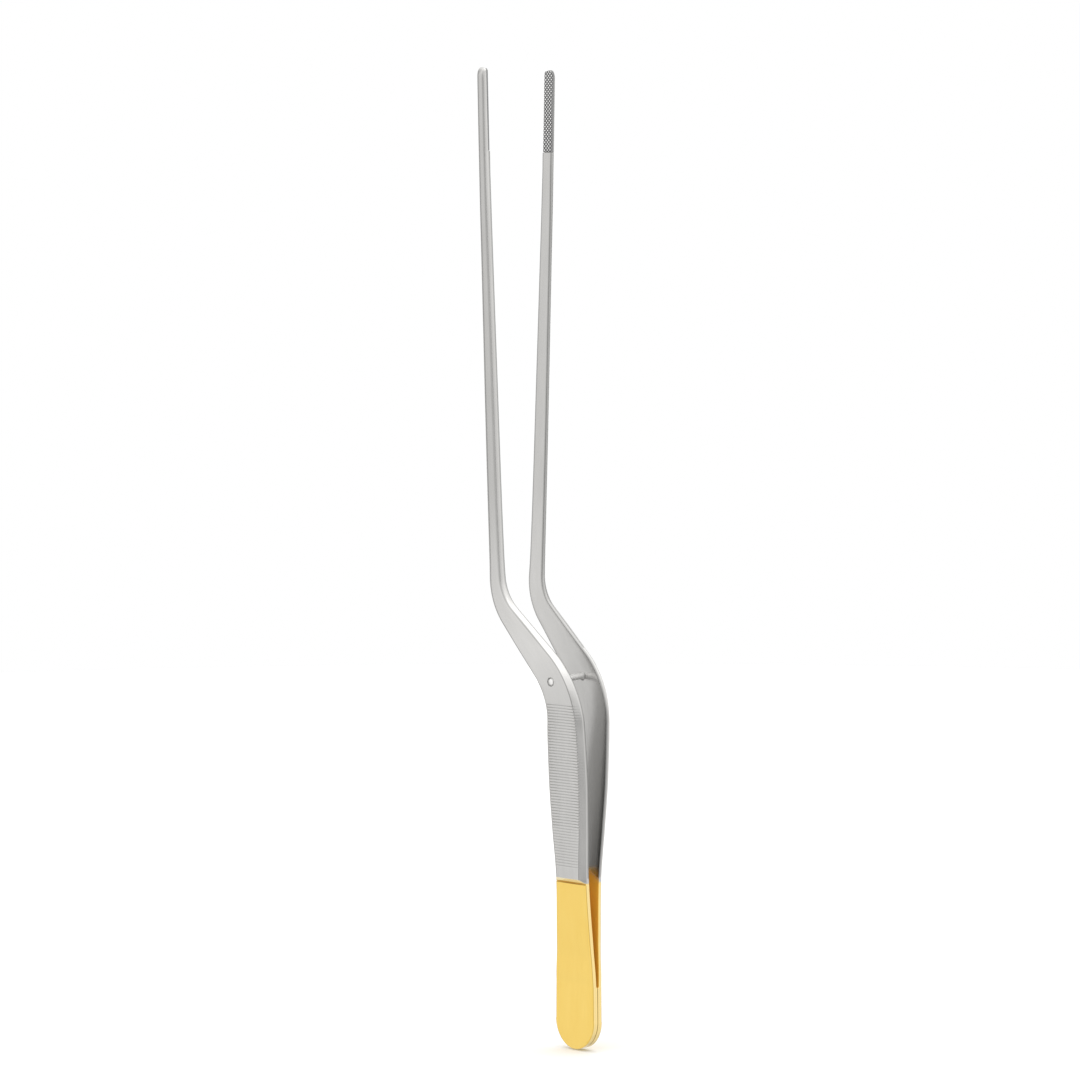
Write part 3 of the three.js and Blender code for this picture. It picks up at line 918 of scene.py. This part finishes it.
def make_pin():
    """The guide pin, with the head that was peened over in the left arm's hole."""
    reach = (2 * pin_gap + arm_depth + PIN_ENTRY) / math.cos(pin_lean)
    fit = RIVET_RADIUS - RIVET_FIT
    # Third numbers mark the groove round the head, which gets painted shade.
    head = [
        (0, -0.04), (0.4, -0.03), (0.64, 0.01), (0.76, 0.06, 0.3), (0.84, 0.22, 1), (0.96, 0.3, 1),
        (1.06, 0.2, 1), (1.12, 0.06, 0.6), (fit, 0.1, 1), (fit, 0.4), (fit, arm_depth - 0.1),
    ]
    shoulder = [(PIN_RADIUS + 0.05, arm_depth - 0.04), (PIN_RADIUS, arm_depth + 0.02)]
    rounded_end = [
        (PIN_RADIUS, reach - 0.45), (PIN_RADIUS - 0.05, reach - 0.25),
        (PIN_RADIUS - 0.18, reach - 0.1), (PIN_RADIUS - 0.42, reach), (0, reach + 0.02),
    ]
    pin = turned("guide_pin_riveted", head + shoulder + rounded_end)
    start = (pin_x, -pin_gap - arm_depth * math.cos(pin_lean),
             PIN_HEIGHT - arm_depth * math.sin(pin_lean))
    place(pin, start, pin_lean)
    shade(pin, 40)
    pin.data.materials.append(pin_steel())
    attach(pin, "left_arm")
    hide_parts("guide_pin")


plated, hard_metal = plated_steel(), carbide()
for side in SIDES:
    make_arm(side).data.materials.append(plated)
    make_insert(side, hard_metal)
make_pin()

# ---- Studio: floor, light and camera ----------------------------------------------------------

FLOOR_RADIUS = 1.0
FLOOR_DROP = 0.0003  # the floor lies this far below the heel


def make_floor():
    """A round pale table top that the heel stands on."""
    shape = bmesh.new()
    bmesh.ops.create_circle(shape, cap_ends=True, radius=FLOOR_RADIUS, segments=96)
    mesh = bpy.data.meshes.new("studio_floor")
    shape.to_mesh(mesh)
    shape.free()
    floor = bpy.data.objects.new("studio_floor", mesh)
    floor.location.z = -FLOOR_DROP
    floor.visible_glossy = False
    bpy.context.scene.collection.objects.link(floor)
    floor.data.materials.append(paper())


make_floor()


def soft_box(name, at, size, power):
    """An area light that faces the tweezers' middle."""
    light = bpy.data.lights.new(name, "AREA")
    light.shape, light.size, light.size_y, light.energy = "RECTANGLE", *size, power
    obj = bpy.data.objects.new(name, light)
    obj.location = at
    aim = Vector((0, 0, LENGTH / 2 * MM)) - Vector(at)
    obj.rotation_euler = aim.to_track_quat("-Z", "Y").to_euler()
    bpy.context.scene.collection.objects.link(obj)


soft_box("overhead", (0.3, -0.2, 1.3), (1.2, 1.2), 1.5)

# The tent around the tweezers is white, and brighter towards its top. A card dims it, or a lamp
# behind it brightens it, softly round one direction: the direction, the cosines where that
# starts and where it is full, and the factor there. A flag is a dim upright strip of it, from
# well below the horizon to well above: its azimuth direction, and the share that it takes away.
TENT_LEVEL, TENT_RISE, TENT_FALL = 1.02, 0.35, 0.22
CARDS_AND_LAMPS = (
    ((0.7055, -0.7055, -0.1), 0.6, 0.96, 0.8),
    ((0.7055, -0.7055, -0.1), 0.98, 0.998, 0.45),
    ((-0.41, 0.7, -0.57), 0.88, 0.98, 0.85),
    ((0.07, 0.7055, 0.7055), 0.86, 0.98, 1.35),
)
FLAGS = (((-0.05, 0.999, 0), 0.6), ((-0.975, -0.22, 0), 0.5))
FLAG_CORE, FLAG_EDGE = 0.18, 0.42
FLAG_TOP, FLAG_END = 0.42, 0.78
FLAG_FACING = 0.3  # the cosine from which the flag is full on its own side
ROOM_COLOUR = (1.0, 0.995, 0.985, 1)


def studio_world():
    """White for the camera; for the metal and the floor, a white tent with a few dim cards."""
    world = bpy.data.worlds.new("studio")
    bpy.context.scene.world = world
    world.use_nodes = True
    tree = world.node_tree
    tree.nodes.clear()

    def node(kind, **settings):
        made = tree.nodes.new(kind)
        for key, value in settings.items():
            setattr(made, key, value)
        return made

    def maths(operation, a, b):
        made = node("ShaderNodeMath", operation=operation)
        for socket, value in zip(made.inputs, (a, b)):
            if isinstance(value, bpy.types.NodeSocket):
                tree.links.new(value, socket)
            else:
                socket.default_value = value
        return made.outputs[0]

    way = node("ShaderNodeTexCoord").outputs["Generated"]
    parts = node("ShaderNodeSeparateXYZ")
    tree.links.new(way, parts.inputs[0])
    above = maths("MULTIPLY", maths("MAXIMUM", parts.outputs["Z"], 0.0), TENT_RISE)
    below = maths("MULTIPLY", maths("MINIMUM", parts.outputs["Z"], 0.0), TENT_FALL)
    level = maths("ADD", maths("ADD", above, below), TENT_LEVEL)

    def along(direction):
        toward = node("ShaderNodeVectorMath", operation="DOT_PRODUCT")
        toward.inputs[1].default_value = Vector(direction).normalized()
        tree.links.new(way, toward.inputs[0])
        return toward.outputs["Value"]

    def ramp(value, start, full, low, high):
        soft = node("ShaderNodeMapRange", interpolation_type="SMOOTHSTEP")
        for key, given in (("From Min", start), ("From Max", full),
                           ("To Min", low), ("To Max", high)):
            soft.inputs[key].default_value = given
        tree.links.new(value, soft.inputs["Value"])
        return soft.outputs["Result"]

    for middle, start, full, factor in CARDS_AND_LAMPS:
        level = maths("MULTIPLY", level, ramp(along(middle), start, full, 1, factor))
    steepness = maths("ABSOLUTE", parts.outputs["Z"], 0)
    upright = ramp(steepness, FLAG_TOP, FLAG_END, 1, 0)
    for (x, y, z), share in FLAGS:
        off = maths("ABSOLUTE", along((y, -x, z)), 0)
        strip = maths("MULTIPLY", ramp(off, FLAG_CORE, FLAG_EDGE, share, 0), upright)
        facing = ramp(along((x, y, z)), 0, FLAG_FACING, 0, 1)
        level = maths("MULTIPLY", level, maths("SUBTRACT", 1, maths("MULTIPLY", strip, facing)))
    room, seen = node("ShaderNodeBackground"), node("ShaderNodeBackground")
    tree.links.new(level, room.inputs["Strength"])
    room.inputs["Color"].default_value = ROOM_COLOUR
    seen.inputs["Color"].default_value = (1, 1, 1, 1)
    path, pick = node("ShaderNodeLightPath"), node("ShaderNodeMixShader")
    out = node("ShaderNodeOutputWorld")
    tree.links.new(path.outputs["Is Camera Ray"], pick.inputs[0])
    tree.links.new(room.outputs[0], pick.inputs[1])
    tree.links.new(seen.outputs[0], pick.inputs[2])
    tree.links.new(pick.outputs[0], out.inputs["Surface"])


studio_world()

CAMERA_AZIMUTH = math.radians(45)
CAMERA_ELEVATION = math.radians(3.9)
CAMERA_DISTANCE = 1.04
CAMERA_ROLL = math.radians(-0.1)
CAMERA_TARGET = Vector((-0.00688, -0.00688, 0.13036))
CAMERA_LENS = 136.6


def place_camera():
    """The camera on the photograph's side, level but for a few degrees."""
    data = bpy.data.cameras.new("camera")
    data.lens = CAMERA_LENS
    data.clip_end = 50
    camera = bpy.data.objects.new("camera", data)
    back = Vector((
        math.sin(CAMERA_AZIMUTH) * math.cos(CAMERA_ELEVATION),
        -math.cos(CAMERA_AZIMUTH) * math.cos(CAMERA_ELEVATION),
        math.sin(CAMERA_ELEVATION),
    ))
    camera.location = CAMERA_TARGET + back * CAMERA_DISTANCE
    aim = (-back).to_track_quat("-Z", "Y")
    camera.rotation_euler = (aim @ Quaternion((0, 0, 1), CAMERA_ROLL)).to_euler()
    bpy.context.scene.collection.objects.link(camera)
    bpy.context.scene.camera = camera


place_camera()
bpy.context.scene.view_settings.view_transform = "Standard"
